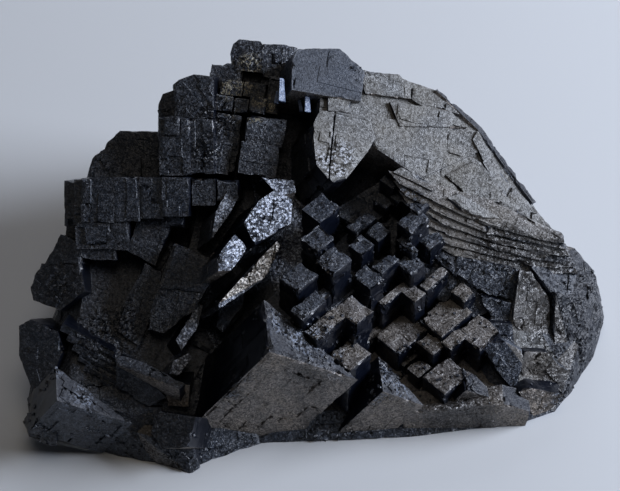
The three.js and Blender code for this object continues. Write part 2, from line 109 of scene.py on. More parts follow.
# Flat faces: neighbouring triangles in one plane, the largest first. Each: its triangles, and the
# way that it faces. A speck is too small for its own direction to tell.
FLAT_TILT = math.cos(math.radians(2.5))
FLAT_GAP = 0.07
SPECK = 1e-3
face_of = np.full(len(triangles), -1)
flats = []
for first in np.argsort(-areas).tolist():
    if face_of[first] >= 0:
        continue
    normal = normals[first]
    base = corners[triangles[first, 0]]
    face_of[first] = len(flats)
    members = [first]
    waiting = [first]
    while waiting:
        for other in neighbours[waiting.pop()]:
            if face_of[other] >= 0:
                continue
            off = np.abs((corners[triangles[other]] - base) @ normal).max()
            if (normals[other] @ normal > FLAT_TILT or areas[other] < SPECK) and off < FLAT_GAP:
                face_of[other] = len(flats)
                members.append(other)
                waiting.append(other)
    flats.append((members, normal))

# How far apart points are put on a face: close where it is seen, wide beneath. A face is beneath
# when it looks down this steeply or lies this low.
SPACING = {"seen": 0.55, "sideways": 0.9, "turned away": 1.3, "beneath": 2.5}
FACING_DOWN = -0.5
LOW_DOWN = 0.8
points = [list(p) for p in corners]
edge_points = {}


def spacing(centre, facing):
    """How far apart points are put on a face at a centre that faces one way."""
    seen = facing @ OUT
    if facing[2] < FACING_DOWN or centre[2] < LOW_DOWN:
        return SPACING["beneath"]
    if seen > 0.1:
        return SPACING["seen"]
    return SPACING["sideways"] if seen > -0.35 else SPACING["turned away"]


def split(a, b, step):
    """The points along the edge from a to b, the same ones for both of its faces."""
    key = (min(a, b), max(a, b))
    if key not in edge_points:
        start = corners[key[0]]
        end = corners[key[1]]
        count = max(1, int(round(np.linalg.norm(end - start) / step)))
        ids = [key[0]]
        for i in range(1, count):
            points.append(list(start + (end - start) * i / count))
            ids.append(len(points) - 1)
        ids.append(key[1])
        edge_points[key] = ids
    ids = edge_points[key]
    return ids if a == key[0] else ids[::-1]


rim_of = [[] for _ in flats]
for (a, b), faces in edge_faces.items():
    beside = [face_of[face] for face in faces]
    rimmed = [flat for flat in set(beside) if beside.count(flat) % 2]
    if not rimmed:
        continue
    centre = (corners[a] + corners[b]) / 2
    ids = split(a, b, min(spacing(centre, flats[flat][1]) for flat in rimmed))
    for flat in rimmed:
        rim_of[flat].append(ids)

# Edges that stick out are worn: each of their points is pushed in between the two faces.
HARDLY_BENT = 0.93
KNIFE_EDGE = 0.2
wear_push = {}
for (a, b), faces in edge_faces.items():
    if len(faces) != 2 or face_of[faces[0]] == face_of[faces[1]]:
        continue
    here = flats[face_of[faces[0]]][1]
    there = flats[face_of[faces[1]]][1]
    if here @ there > HARDLY_BENT:
        continue
    beyond = corners[triangles[faces[1]]].mean(axis=0)
    if (beyond - corners[a]) @ here > 0:
        continue
    inward = -(here + there)
    size = np.linalg.norm(inward)
    if size < KNIFE_EDGE:
        continue
    for i in edge_points[a, b]:
        wear_push[i] = wear_push.get(i, 0) + inward / size


def inside_walls(faces, walls):
    """The triangles that lie inside closed walls: crossing a wall goes in or out."""
    beside = {}
    for index, face in enumerate(faces):
        for a, b in zip(face, face[1:] + face[:1]):
            beside.setdefault((min(a, b), max(a, b)), []).append(index)
    state = {}
    for edge, owners in beside.items():
        if len(owners) == 1 and owners[0] not in state:
            state[owners[0]] = edge in walls
            waiting = [owners[0]]
            while waiting:
                index = waiting.pop()
                face = faces[index]
                for a, b in zip(face, face[1:] + face[:1]):
                    key = (min(a, b), max(a, b))
                    for other in beside[key]:
                        if other not in state:
                            state[other] = state[index] != (key in walls)
                            waiting.append(other)
    return [face for index, face in enumerate(faces) if state.get(index)]


def is_inside(spots, starts, ends):
    """Which spots lie inside the outline made of the segments from starts to ends."""
    y = spots[:, 1][:, None]
    crossing = (starts[:, 1] > y) != (ends[:, 1] > y)
    rise = np.where(ends[:, 1] == starts[:, 1], 1e-12, ends[:, 1] - starts[:, 1])
    at = starts[:, 0] + (y - starts[:, 1]) / rise * (ends[:, 0] - starts[:, 0])
    return (crossing & (spots[:, :1] < at)).sum(axis=1) % 2 == 1


def clearance(spots, starts, ends):
    """How far each spot is from the nearest of the segments."""
    along = ends - starts
    length = np.maximum((along * along).sum(axis=1), 1e-12)
    reach = spots[:, None] - starts[None]
    t = np.clip((reach * along).sum(axis=2) / length, 0, 1)
    return np.linalg.norm(reach - t[..., None] * along, axis=2).min(axis=1)


BATCH = 1500


def by_batches(measure, spots):
    """The measure of every spot, taken for a batch of them at a time to spare memory."""
    starts = range(0, max(len(spots), 1), BATCH)
    return np.concatenate([measure(spots[at:at + BATCH]) for at in starts])


# Directions on the crystal face, across, up and out, in which families of faces look.
SATIN = np.array([0.3, 0.28, 0.92]) / np.linalg.norm([0.3, 0.28, 0.92])
FRONT = np.array([0.0, -math.cos(SLOPE), math.sin(SLOPE)])
LEVEL_TOP = np.array([0.0, math.sin(SLOPE), math.cos(SLOPE)])
RIGHT_WALL = np.array([0.707, -0.557, 0.435])
CORNER_BACK = np.array([0.55, 0.55, 0.63])
# How nearly a face of each family looks that way, as a cosine.
ALIKE = {"satin": 0.985, "front": 0.85, "level top": 0.95, "right wall": 0.93, "corner back": 0.96}

# Places on the crystal face: from and to across it, from and to up it. East is to the right.
ANY = math.inf
CLEAVED_BLADE = (-14, -6, -9, -2)
WEST_BLADES = (-ANY, -2, -ANY, 14)
CROWN_SLAB = (-ANY, 12, 31, ANY)
FAR_CORNER = (47, ANY, -ANY, ANY)
WEST_LOBES = (-ANY, -30, -ANY, ANY)
RIM = (52, ANY, -ANY, ANY)
EAST_END = (38, ANY, -ANY, ANY)
BAND_RISERS = (14, ANY, -6, 12)
EAST_GROUND = (14, ANY, -32, ANY)

# The finishes, which are also the numbers of the stone's materials. Most are copies of the one
# black fluorite, painted lighter or darker by the way that they face: painted light and shade.
GRAINY, SMOOTH_SHADED, PLATE_SHEEN, LEDGE_LIT, ETCHED_LIT, DUSKY_SHADED, BRIGHT, SHEET_SHEEN, CLEAVED_GLARE, CORNER = range(10)


def lies_in(place, at):
    """Whether a spot on the crystal face lies in a place."""
    left, right, low, high = place
    return left < at[0] < right and low < at[1] < high


def satin_finish(at):
    """The finish of a face that looks as the satin slab does."""
    if lies_in(CLEAVED_BLADE, at):
        return CLEAVED_GLARE
    if lies_in(WEST_BLADES, at):
        return BRIGHT
    if lies_in(CROWN_SLAB, at) or lies_in(FAR_CORNER, at):
        return DUSKY_SHADED
    return PLATE_SHEEN


def finish_of(facing, at):
    """The finish of a flat face, from the way that it faces and where it is."""
    if facing @ SATIN > ALIKE["satin"]:
        return satin_finish(at)
    if facing @ FRONT > ALIKE["front"]:
        return GRAINY if lies_in(WEST_LOBES, at) else ETCHED_LIT
    if facing @ LEVEL_TOP > ALIKE["level top"]:
        # the cubes nearer to the window and lower down are sandier, and painted lighter as painted
        # light
        return LEDGE_LIT if at[0] * 0.6 - at[1] > 16 else GRAINY
    if lies_in(RIM, at):
        return CORNER
    # the flanks of the east end
    if lies_in(EAST_END, at) and facing[0] > 0.45 and facing[2] < 0.6:
        return DUSKY_SHADED
    if facing @ CORNER_BACK > ALIKE["corner back"]:
        return CORNER
    # the steep fronts of the bands
    if lies_in(BAND_RISERS, at) and facing[1] < -0.9:
        return SHEET_SHEEN
    # what looks away from the front
    if facing[2] < -0.15:
        return GRAINY
    # cube sides: right walls, and all that is steep and doesn't look straight to the left
    if facing @ RIGHT_WALL > ALIKE["right wall"] or (facing[2] < 0.5 and facing[0] > -0.9):
        return SMOOTH_SHADED
    # the ground between the eastern cubes, where it leans to the right towards the window: painted
    # sheen
    if lies_in(EAST_GROUND, at) and facing[0] > 0.14 and facing[2] > 0.8:
        return SHEET_SHEEN
    return GRAINY


# A joint of the mosaic: how far each block's edge is from it, and how far apart its points are.
INSET = 0.07
RING_STEP = 0.7
# The height of one step of the mosaic, and how far its joints wander.
LEVEL = 0.16
WOBBLE = 0.22
# The steps follow two swells, wide and narrow. Each: steps, size, offset.
SWELLS = ((1.9, 8.0, 0.0), (1.1, 3.1, 7.3))
STEP_CHANCE = 0.22
# Blocks nearer in height than this are level, and this share of them stay apart all the same.
SAME_LEVEL = 0.01
KEPT_APART = 0.3
# The mosaic of each kind of face: the height of its courses, the length of its blocks, its step
# as a share of LEVEL, and the share of its courses that start a crack.
MOSAICS = {
    "satin": ((1.6, 4.6), (3.0, 11.0), 0.7, 0.5),
    "etched": ((1.4, 3.6), (1.8, 6.0), 0.35, 0.7),
    "smooth": ((1.4, 3.6), (1.8, 6.0), 0.3, 0.1),
    "cube top": ((1.1, 3.2), (1.6, 5.5), 0.45, 0.15),
    "large": ((1.6, 4.4), (2.5, 9.0), 1.0, 0.6),
    "small": ((1.1, 3.2), (1.6, 5.5), 0.8, 0.4),
}
LARGE_AREA = 120
# Cracks: how deep they are, how many courses they climb, and how far along one they may run.
CRACK_DEPTH = (0.22, 0.55)
CRACK_COURSES = (1, 7)
CRACK_RUN = 7


def mosaic_kind(facing, finish, area):
    """Which of the MOSAICS a face has."""
    if facing @ SATIN > ALIKE["satin"]:
        return "satin"
    if finish in (ETCHED_LIT, BRIGHT, CLEAVED_GLARE):
        return "etched"
    if finish == SMOOTH_SHADED:
        return "smooth"
    if facing @ LEVEL_TOP > ALIKE["level top"]:
        return "cube top"
    return "large" if area > LARGE_AREA else "small"


def mosaic(low, high, to_space, rng, course_range, length_range, level):
    """Courses of blocks over a rectangle. Each block: x0, x1, y0, y1, height, ringed."""
    courses = []
    y = low[1] - rng.uniform(0, 2)
    while y < high[1]:
        top = y + rng.uniform(*course_range)
        x = low[0] - rng.uniform(0, 4)
        course = []
        while x < high[0]:
            end = x + rng.uniform(*length_range)
            middle = to_space(np.array([[(x + end) / 2, (y + top) / 2]]))
            steps = sum(share * noise(middle, size, offset)[0] for share, size, offset in SWELLS)
            height = level * round(steps + rng.normal(0, STEP_CHANCE))
            if course and abs(course[-1][4] - height) < SAME_LEVEL and rng.random() > KEPT_APART:
                course[-1][1] = end
            else:
                course.append([x, end, y, top, height, False])
            x = end
        courses.append(course)
        y = top
    # a block is ringed where a neighbour stands higher or lower
    for n, course in enumerate(courses):
        for m, block in enumerate(course):
            beside = [course[k] for k in (m - 1, m + 1) if 0 <= k < len(course)]
            for other in (n - 1, n + 1):
                if 0 <= other < len(courses):
                    beside += [c for c in courses[other] if c[0] < block[1] and c[1] > block[0]]
            block[5] = any(abs(c[4] - block[4]) > SAME_LEVEL for c in beside)
    return courses


def crack_lines(courses, rng, share):
    """Cracks that climb the joints in steps: along a course, then up beside a block."""
    cracks = []
    for n in range(len(courses)):
        if rng.random() > share:
            continue
        heading = rng.choice([-1, 1])
        start = courses[n][rng.integers(len(courses[n]))]
        path = [(start[0], start[2])]
        for course in courses[n:n + rng.integers(*CRACK_COURSES)]:
            x = path[-1][0]
            ahead = [block[0] for block in course if 0 <= (block[0] - x) * heading < CRACK_RUN]
            if not ahead:
                break
            stop = ahead[rng.integers(len(ahead))]
            path += [(stop, course[0][2]), (stop, course[0][3])]
        cracks.append((path, rng.uniform(*CRACK_DEPTH)))
    return cracks


def wobble(spots, face_number):
    """Moves places on a face a little, so that no joint runs quite straight."""
    deep = np.concatenate([spots, np.full((len(spots), 1), face_number)], axis=1)
    coarse = np.stack([noise(deep, 3.4, 0.3), noise(deep, 3.4, 6.3)], axis=1)
    fine = np.stack([noise(deep, 1.1, 2.3), noise(deep, 1.1, 9.3)], axis=1)
    return spots + coarse * WOBBLE + fine * WOBBLE * 0.35


def line_points(x0, y0, x1, y1, step):
    """Points along a line, about a step apart, without its last one."""
    count = max(1, int(round(math.hypot(x1 - x0, y1 - y0) / step)))
    return [[x0 + (x1 - x0) * i / count, y0 + (y1 - y0) * i / count] for i in range(count)]


def lay_cracks(cracks, lines, rises, joints):
    """Adds each crack as three lines of points: its floor, and a lip on either side.

    The floor is shallow at both ends of the crack and deepest half way along.
    """
    for path, depth in cracks:
        legs = [(p, q) for p, q in zip(path, path[1:]) if math.dist(p, q) > 0.1]
        whole = sum(math.dist(p, q) for p, q in legs)
        gone = 0.0
        for p, q in legs:
            run = line_points(*p, *q, RING_STEP) + [list(q)]
            reach = math.dist(p, q)
            part = (gone + np.linspace(0, reach, len(run))) / whole
            floor = list(-depth * np.sin(0.1 + part * (math.pi - 0.2)) ** 0.6)
            for side in (-INSET, 0.0, INSET):
                dx, dy = (0.0, side) if p[1] == q[1] else (side, 0.0)
                offset = len(lines)
                lines += [[x + dx, y + dy] for x, y in run]
                rises += floor if side == 0 else [None] * len(run)
                joints += [(offset + i, offset + i + 1) for i in range(len(run) - 1)]
            gone += reach


def lay_rings(blocks, low, high, lines, rises, joints):
    """Adds a ring of points just inside the edge of each ringed block."""
    for x0, x1, y0, y1, height, ringed in blocks:
        if not ringed or x1 < low[0] or x0 > high[0] or y1 < low[1] or y0 > high[1]:
            continue
        a, b, c, d = x0 + INSET, x1 - INSET, y0 + INSET, y1 - INSET
        ring = line_points(a, c, b, c, RING_STEP) + line_points(b, c, b, d, RING_STEP)
        ring += line_points(b, d, a, d, RING_STEP) + line_points(a, d, a, c, RING_STEP)
        offset = len(lines)
        count = len(ring)
        lines += ring
        rises += [height] * count
        joints += [(offset + i, offset + (i + 1) % count) for i in range(count)]


def on_block(spots, x0, x1, y0, y1):
    """Which spots lie on a block."""
    return (spots[:, 0] >= x0) & (spots[:, 0] < x1) & (spots[:, 1] >= y0) & (spots[:, 1] < y1)


# The loose grid: its pitch and its unevenness in steps, and how clear it stays of the joints.
GRID_PITCH = 1.25
GRID_UNEVEN = 0.3
CLEAR_OF_RING = 0.22
CLEAR_OF_CRACK = 0.3


def inner_points(low, high, step, rng, courses, cracked_share):
    """Points over a face, how far each rises, and its joints: cracks, rings and a loose grid."""
    blocks = [block for course in courses for block in course]
    lines = []
    rises = []
    joints = []
    lay_cracks(crack_lines(courses, rng, cracked_share), lines, rises, joints)
    cracked = np.array(lines).reshape(-1, 2)
    # the lips of a crack rise with the blocks that they lie on
    lips = [n for n, rise in enumerate(rises) if rise is None]
    lip_spots = np.array([lines[n] for n in lips]).reshape(-1, 2)
    lay_rings(blocks, low, high, lines, rises, joints)
    grid_x, grid_y = np.meshgrid(
        np.arange(low[0] + step / 2, high[0], step * GRID_PITCH),
        np.arange(low[1] + step / 2, high[1], step * GRID_PITCH),
    )
    grid = np.stack([grid_x.ravel(), grid_y.ravel()], axis=1)
    grid += rng.uniform(-GRID_UNEVEN, GRID_UNEVEN, grid.shape) * step
    grid_rise = np.zeros(len(grid))
    clear = np.ones(len(grid), bool)
    for x0, x1, y0, y1, height, ringed in blocks:
        on = on_block(grid, x0, x1, y0, y1)
        grid_rise[on] = height
        for n in np.where(on_block(lip_spots, x0, x1, y0, y1))[0]:
            rises[lips[n]] = height
        if ringed:
            edge = np.minimum(
                np.minimum(grid[:, 0] - x0, x1 - grid[:, 0]),
                np.minimum(grid[:, 1] - y0, y1 - grid[:, 1]),
            )
            clear &= ~(on & (edge < INSET + CLEAR_OF_RING))
    if len(cracked):
        gaps = by_batches(
            lambda some: np.linalg.norm(some[:, None] - cracked[None], axis=2).min(axis=1), grid
        )
        clear &= gaps > CLEAR_OF_CRACK
    rises = [0.0 if rise is None else rise for rise in rises]
    spots = np.concatenate([np.array(lines).reshape(-1, 2), grid[clear]])
    return spots, np.concatenate([np.array(rises), grid_rise[clear]]), joints


# Each flat face is meshed anew, from the points of its rim and points laid over it. Small and
# narrow faces have none laid over them, and small or wide-spaced ones have no mosaic.
SMALLEST_FILLED = 1.5
NARROWEST_FILLED = 0.7
SMALLEST_MOSAIC = 8.0
WIDEST_MOSAIC_STEP = 1.0
# The lean of the courses on satin faces, and how clear of the rim points are, in steps.
COURSE_LEAN = 0.12
CLEAR_OF_RIM = 0.34
LARGEST_RIM_STEP = 0.8
# How near the points lie that a new corner takes its depth from.
LOOK_ROUND = 0.3
mesh_faces = []
face_kinds = []
grown_flat = set()
for number, (members, normal) in enumerate(flats):
    rims = rim_of[number]
    if not rims:
        continue
    centre = corners[triangles[members]].reshape(-1, 3).mean(axis=0)
    step = spacing(centre, normal)
    facing = np.array([normal @ ACROSS, normal @ UP, normal @ OUT])
    area = areas[members].sum()
    finish = finish_of(facing, face_frame(centre[None])[0])
    kind = mosaic_kind(facing, finish, area)

    # the courses follow the face's longest edge, or on satin faces run nearly level
    longest = max(rims, key=lambda ids: np.linalg.norm(np.subtract(points[ids[0]], points[ids[-1]])))
    first = np.subtract(points[longest[-1]], points[longest[0]])
    if kind == "satin":
        first = ACROSS - UP * COURSE_LEAN
    first = first - normal * (first @ normal)
    length = np.linalg.norm(first)
    if length < 1e-6:
        continue
    first /= length
    second = np.cross(normal, first)

    # the rim, laid flat
    rim_ids = sorted(set(i for run in rims for i in run))
    rank = {i: n for n, i in enumerate(rim_ids)}
    spots = np.array([points[i] for i in rim_ids])
    base = spots[0]
    flat = np.stack([(spots - base) @ first, (spots - base) @ second], axis=1)
    rim_edges = [(rank[a], rank[b]) for run in rims for a, b in zip(run, run[1:])]
    starts = flat[[e[0] for e in rim_edges]]
    ends = flat[[e[1] for e in rim_edges]]
    low, high = flat.min(axis=0), flat.max(axis=0)

    def to_space(spots_2d):
        return base + spots_2d[:, :1] * first + spots_2d[:, 1:] * second

    # the points inside it that stay clear of the rim
    inner = np.zeros((0, 2))
    inner_rise = np.zeros(0)
    inner_edges = []
    if area > SMALLEST_FILLED and min(high - low) > NARROWEST_FILLED:
        rng = np.random.default_rng(1000 + number)
        courses = []
        course_range, length_range, level_share, cracked_share = MOSAICS[kind]
        if area > SMALLEST_MOSAIC and step < WIDEST_MOSAIC_STEP:
            level = LEVEL * level_share
            courses = mosaic(low, high, to_space, rng, course_range, length_range, level)
        laid, laid_rise, joints = inner_points(low, high, step, rng, courses, cracked_share)
        if courses:
            laid = wobble(laid, number)
        inside = by_batches(lambda some: is_inside(some, starts, ends), laid)
        gap = by_batches(lambda some: clearance(some, starts, ends), laid[inside])
        good = inside.copy()
        good[inside] = gap > CLEAR_OF_RIM * min(step, LARGEST_RIM_STEP)
        new_rank = np.cumsum(good) - 1
        inner_edges = [(new_rank[a], new_rank[b]) for a, b in joints if good[a] and good[b]]
        inner = laid[good]
        inner_rise = laid_rise[good]

    # triangles between them all, cut back to the rim
    rim_total = len(flat)
    plan = np.concatenate([flat, inner])
    walls_in = rim_edges + [(a + rim_total, b + rim_total) for a, b in inner_edges]
    out_verts, out_edges, out_faces, orig_verts, orig_edges, _ = delaunay_2d_cdt(
        [Vector(p) for p in plan.tolist()], walls_in, [], 0, 1e-6
    )
    walls = {
        (min(e), max(e))
        for e, origins in zip(out_edges, orig_edges)
        if sum(o < len(rim_edges) for o in origins) % 2
    }
    ids_out = {}

    def point_of(v):
        """The stone's point for a corner of the new triangles, raised where a block rises."""
        if v not in ids_out:
            origins = orig_verts[v]
            known = [o for o in origins if o < rim_total]
            if known:
                ids_out[v] = rim_ids[known[0]]
            else:
                if origins:
                    height = max(inner_rise[o - rim_total] for o in origins)
                else:
                    # where two joints cross, the new corner is as deep as the deepest beside it
                    gaps = np.linalg.norm(inner - np.array(out_verts[v][:]), axis=1)
                    beside_it = inner_rise[gaps < LOOK_ROUND]
                    height = beside_it.min() if len(beside_it) else 0.0
                spot = to_space(np.array([out_verts[v][:]]))[0] + normal * height
                points.append(spot.tolist())
                ids_out[v] = len(points) - 1
        return ids_out[v]

    for face in inside_walls(out_faces, walls):
        corner_ids = [point_of(v) for v in face]
        if len(set(corner_ids)) < 3:
            continue
        a, b, c = (out_verts[v] for v in face)
        if (b - a).cross(c - a) < 0:
            corner_ids.reverse()
        mesh_faces.append(corner_ids)
        face_kinds.append(finish)
        if finish in (PLATE_SHEEN, SHEET_SHEEN, ETCHED_LIT, BRIGHT, CLEAVED_GLARE):
            grown_flat.update(corner_ids)

# the way that the surface faces at each point
shape = np.array(points)
where_on_face = face_frame(shape)
face_array = np.array(mesh_faces)
side_1 = shape[face_array[:, 1]] - shape[face_array[:, 0]]
side_2 = shape[face_array[:, 2]] - shape[face_array[:, 0]]
face_normal = np.cross(side_1, side_2)
corner_normals = np.zeros_like(shape)
for k in range(3):
    np.add.at(corner_normals, face_array[:, k], face_normal)
corner_normals /= np.maximum(np.linalg.norm(corner_normals, axis=1), 1e-9)[:, None]
grown_rough = np.array([0.0 if i in grown_flat else 1.0 for i in range(len(shape))])

# The small cubes of the terraces are the roughest. They fill an oval, given by its middle and its
# reach, and fade out at its edge.
TERRACES = ((18.0, -9.0), (24.0, 21.0))
TERRACE_EDGE = 1.1
TERRACE_FADE = 0.2
terrace_reach = np.linalg.norm((where_on_face[:, :2] - TERRACES[0]) / TERRACES[1], axis=1)
on_terrace = np.clip((TERRACE_EDGE - terrace_reach) / TERRACE_FADE, 0, 1)
on_terrace *= grown_rough

# Chips in the edges: a few of about 2 mm, and many smaller ones, with the depth of each.
LARGE_CHIPS = {"size": 2.3, "offset": 3.1, "above": 0.25, "depth": 1.1}
SMALL_CHIPS = {"size": 0.8, "offset": 11.0, "above": 0.1, "depth": 0.22}
# All edges are worn this much, and the terraces' more, with deeper chips.
ALL_ROUND_WEAR = 0.02
TERRACE_WEAR = 0.14
TERRACE_CHIPS = 0.8


def chips(size, offset, above, depth):
    """How deep each point of an edge is chipped, in mm."""
    return np.clip(noise(shape, size, offset) - above, 0, 1) * depth


worn = np.zeros(len(shape))
push = np.zeros_like(shape)
for i, direction in wear_push.items():
    length = np.linalg.norm(direction)
    if length > 1e-6:
        push[i] = direction / length
        worn[i] = 1.0
chip = chips(**LARGE_CHIPS) + chips(**SMALL_CHIPS)
bite = ALL_ROUND_WEAR + chip * (1 + on_terrace * TERRACE_CHIPS) + on_terrace * TERRACE_WEAR
shape = shape + push * bite[:, None]


ZONE_REACH = 1.3


def zones(spots, soft_edge):
    """How strongly each point lies in one of the zones, from 0 to 1, fading across its radius."""
    strength = np.zeros(len(shape))
    for across, up, out, radius in spots:
        gap = np.linalg.norm(where_on_face - (across, up, out), axis=1)
        fading = (radius * ZONE_REACH - gap) / (radius * soft_edge)
        strength = np.maximum(strength, np.clip(fading, 0, 1))
    return strength


# Where the stone is broken and rough: across, up, out, radius.
BROKEN = [
    (57, -14, -8, 13), (54, -26, -8, 10), (53, 0, -8, 7), (-30, -42, 2, 7), (-54, -34, 6, 6),
    (-8, -12, 14, 4), (-17, -28, 14, 4), (17, -24, 6, 5), (44, -4, -4, 6), (38, 0, -4, 5),
    (-20, 19, 2, 3), (-18, 26, -2, 4), (30, -36, 0, 8), (4, -38, 2, 6), (-40, -16, 4, 6),
]
broken = zones(BROKEN, 0.6)
broken = np.maximum(broken, np.clip(noise(shape, 11.0, 2.2) * 2.2 - 0.9, 0, 1) * 0.8)
behind = np.clip(-(corner_normals @ OUT) * 1.5 + 0.1, 0, 1)
broken = np.maximum(broken, behind * np.clip(noise(shape, 9.0, 5.5) * 2 + 0.3, 0, 1))

# The relief of broken parts, of the cubes and of everything else, each in mm.
rough = noise(shape, 2.6, 1.3) * 0.32 + noise(shape, 1.2, 4.7) * 0.16
pitted = noise(shape, 1.5, 6.1) * 0.2 + noise(shape, 0.8, 2.9) * 0.12
relief = broken * rough + on_terrace * pitted + noise(shape, 1.6, 8.8) * 0.03
shape = shape + corner_normals * relief[:, None]

# Nothing is quite straight. The base stays flat on the table.
WIDE_BEND = 0.28
NARROW_BEND = 0.07
BASE_KEPT = 4
bend = np.stack(
    [
        noise(shape, 17.0, k * 9.7 + 0.5) * WIDE_BEND + noise(shape, 5.0, k * 5.1 + 2.5) * NARROW_BEND
        for k in range(3)
    ],
    axis=1,
)
bend[:, 2] *= np.clip(shape[:, 2] / BASE_KEPT, 0, 1)
shape = shape + bend
shape[:, 2] = np.maximum(shape[:, 2], 0)

# Frost: tiny crystals and fresh grains that glint on the ridges, with grains painted bright as
# glints. Across, up, out, radius.
FROSTED = [
    (-5, -14, 17, 4), (0, -18, 16, 5), (6, -22, 13, 4), (-16, -30, 12, 2.5), (-12, -27, 17, 2.5),
    (16, -24, 9, 4), (18, -28, 8, 4), (14, -30, 8, 3), (-48, -26, 13, 4), (-45, -30, 12, 3),
    (-19, -12, 5, 2), (19.5, 10, 1, 2.5), (22.5, 10.5, 0, 1.5), (19.5, -1, 3, 2.5), (2, -3, 10, 3),
    (9, -9, 8, 2), (-50, -8, 0, 3), (56, -4, -9, 3), (50, -32, 0, 4),
    (3, 17, 5, 3), (4, 13, 5, 2.5), (6.5, 18, 4, 3), (6, 14, 4.5, 2),
]
# Cream clay in the clefts of the crown.
STAINED = [
    (-12, 36.3, -5.8, 2.2), (-16.5, 31, -3.3, 2.4), (-16, 26.6, -4, 2.2), (-9.6, 29.6, -2.3, 2),
    (-7.7, 28.2, -5.8, 2), (-5, 29.3, -2.9, 1.6), (-13, 32.5, -4, 2), (-11, 25.5, -1, 1.6),
]
frosted = zones(FROSTED, 0.7) * np.clip(noise(shape, 2.0, 3.9) * 1.8 + 0.45, 0, 1)
stained = zones(STAINED, 0.7)
# where the crystallites grow thickest: on frosted and broken parts that are seen
seen = np.clip(corner_normals @ OUT * 2 + 0.6, 0, 1)
patchy = np.clip(noise(shape, 3.0, 12.5) * 2 + 0.4, 0, 1)
sparkle = np.clip(frosted * 0.7 + broken * 0.25 + on_terrace * 0.1, 0, 1)
sparkle = sparkle * seen * patchy * grown_rough

mesh = bpy.data.meshes.new("fluorite_stone")
mesh.from_pydata((shape * MM).tolist(), [], mesh_faces)
mesh.polygons.foreach_set("material_index", face_kinds)
MARKS = {"worn": worn, "broken": broken, "frosted": frosted, "stained": stained, "sparkle": sparkle}
for name, values in MARKS.items():
    mark = mesh.attributes.new(name, "FLOAT", "POINT")
    mark.data.foreach_set("value", values.astype(np.float32))

# seams are closed, and faces that hang on by one edge alone are taken off
SEAM_GAP = 1e-6
SHARP_DEG = 24
closed = bmesh.new()
closed.from_mesh(mesh)
bmesh.ops.remove_doubles(closed, verts=closed.verts, dist=SEAM_GAP)
bmesh.ops.delete(closed, geom=[v for v in closed.verts if not v.link_faces], context="VERTS")
open_edges = [e for e in closed.edges if len(e.link_faces) == 1]
bmesh.ops.holes_fill(closed, edges=open_edges, sides=12)
bmesh.ops.triangulate(closed, faces=[f for f in closed.faces if len(f.verts) > 3])
strays = [f for f in closed.faces if sum(len(e.link_faces) == 1 for e in f.edges) == 2]
bmesh.ops.delete(closed, geom=strays, context="FACES")
closed.to_mesh(mesh)
closed.free()
mesh.set_sharp_from_angle(angle=math.radians(SHARP_DEG))
stone = bpy.data.objects.new("fluorite_stone", mesh)
bpy.context.scene.collection.objects.link(stone)


def from_hex(code):
    """An sRGB hex colour as the linear values that Blender's sockets take."""
    channels = [int(code[i:i + 2], 16) / 255 for i in (1, 3, 5)]
    return [c / 12.92 if c <= 0.04045 else ((c + 0.055) / 1.055) ** 2.4 for c in channels] + [1.0]


def add_node(tree, kind, inputs=(), **settings):
    """Adds a node with its settings. An input takes a value, a socket or a node's first output."""
    node = tree.nodes.new(kind)
    for name, value in settings.items():
        setattr(node, name, value)
    for socket, source in dict(inputs).items():
        if isinstance(source, bpy.types.Node):
            source = next(output for output in source.outputs if output.enabled)
        if isinstance(source, bpy.types.NodeSocket):
            tree.links.new(source, node.inputs[socket])
        else:
            node.inputs[socket].default_value = source
    return node


# A Mix node's two colour inputs and its colour output: their names don't tell them from others.
UNDER, OVER, BLEND = 6, 7, 2


def tilted_grains(tree, where, per_mm, tilt, normal):
    """Grains, so many to a millimetre, each with its own small tilt: their normal and themselves."""
    grains = add_node(tree, "ShaderNodeTexVoronoi", {"Vector": where, "Scale": per_mm / MM})
    centred = add_node(
        tree, "ShaderNodeVectorMath",
        {0: grains.outputs["Color"], 1: (0.5, 0.5, 0.5)}, operation="SUBTRACT",
    )
    leaning = add_node(
        tree, "ShaderNodeVectorMath", {0: centred, "Scale": tilt}, operation="SCALE"
    )
    added = add_node(tree, "ShaderNodeVectorMath", {0: normal, 1: leaning}, operation="ADD")
    return add_node(tree, "ShaderNodeVectorMath", {0: added}, operation="NORMALIZE"), grains


def clay_veins(tree, where):
    """Veins a few tenths of a millimetre wide: where noise in swells of 1.7 mm is half way up."""
    streaks = add_node(
        tree, "ShaderNodeTexNoise",
        {"Vector": where, "Scale": 0.6 / MM, "Detail": 4.0, "Roughness": 0.65},
    )
    from_half = add_node(tree, "ShaderNodeMath", {0: streaks, 1: 0.5}, operation="SUBTRACT")
    off_vein = add_node(tree, "ShaderNodeMath", {0: from_half}, operation="ABSOLUTE")
    return add_node(
        tree, "ShaderNodeMapRange",
        {"Value": off_vein, "From Min": 0.01, "From Max": 0.04, "To Min": 1.0, "To Max": 0.0},
    )


def ragged_fissures(tree, where):
    """Fissures between grains of 0.67 mm, shifted here and there by up to 0.6 mm."""
    ragged = add_node(
        tree, "ShaderNodeTexNoise", {"Vector": where, "Scale": 1.8 / MM, "Detail": 2.0}
    )
    shifted = add_node(
        tree, "ShaderNodeVectorMath",
        {0: ragged.outputs["Color"], 1: (0.6 * MM, 0.6 * MM, 0.6 * MM), 2: where},
        operation="MULTIPLY_ADD",
    )
    to_edge = add_node(
        tree, "ShaderNodeTexVoronoi",
        {"Vector": shifted, "Scale": 1.5 / MM}, feature="DISTANCE_TO_EDGE",
    ).outputs["Distance"]
    return add_node(
        tree, "ShaderNodeMapRange",
        {"Value": to_edge, "From Min": 0.04, "From Max": 0.14, "To Min": 1.0, "To Max": 0.0},
    )


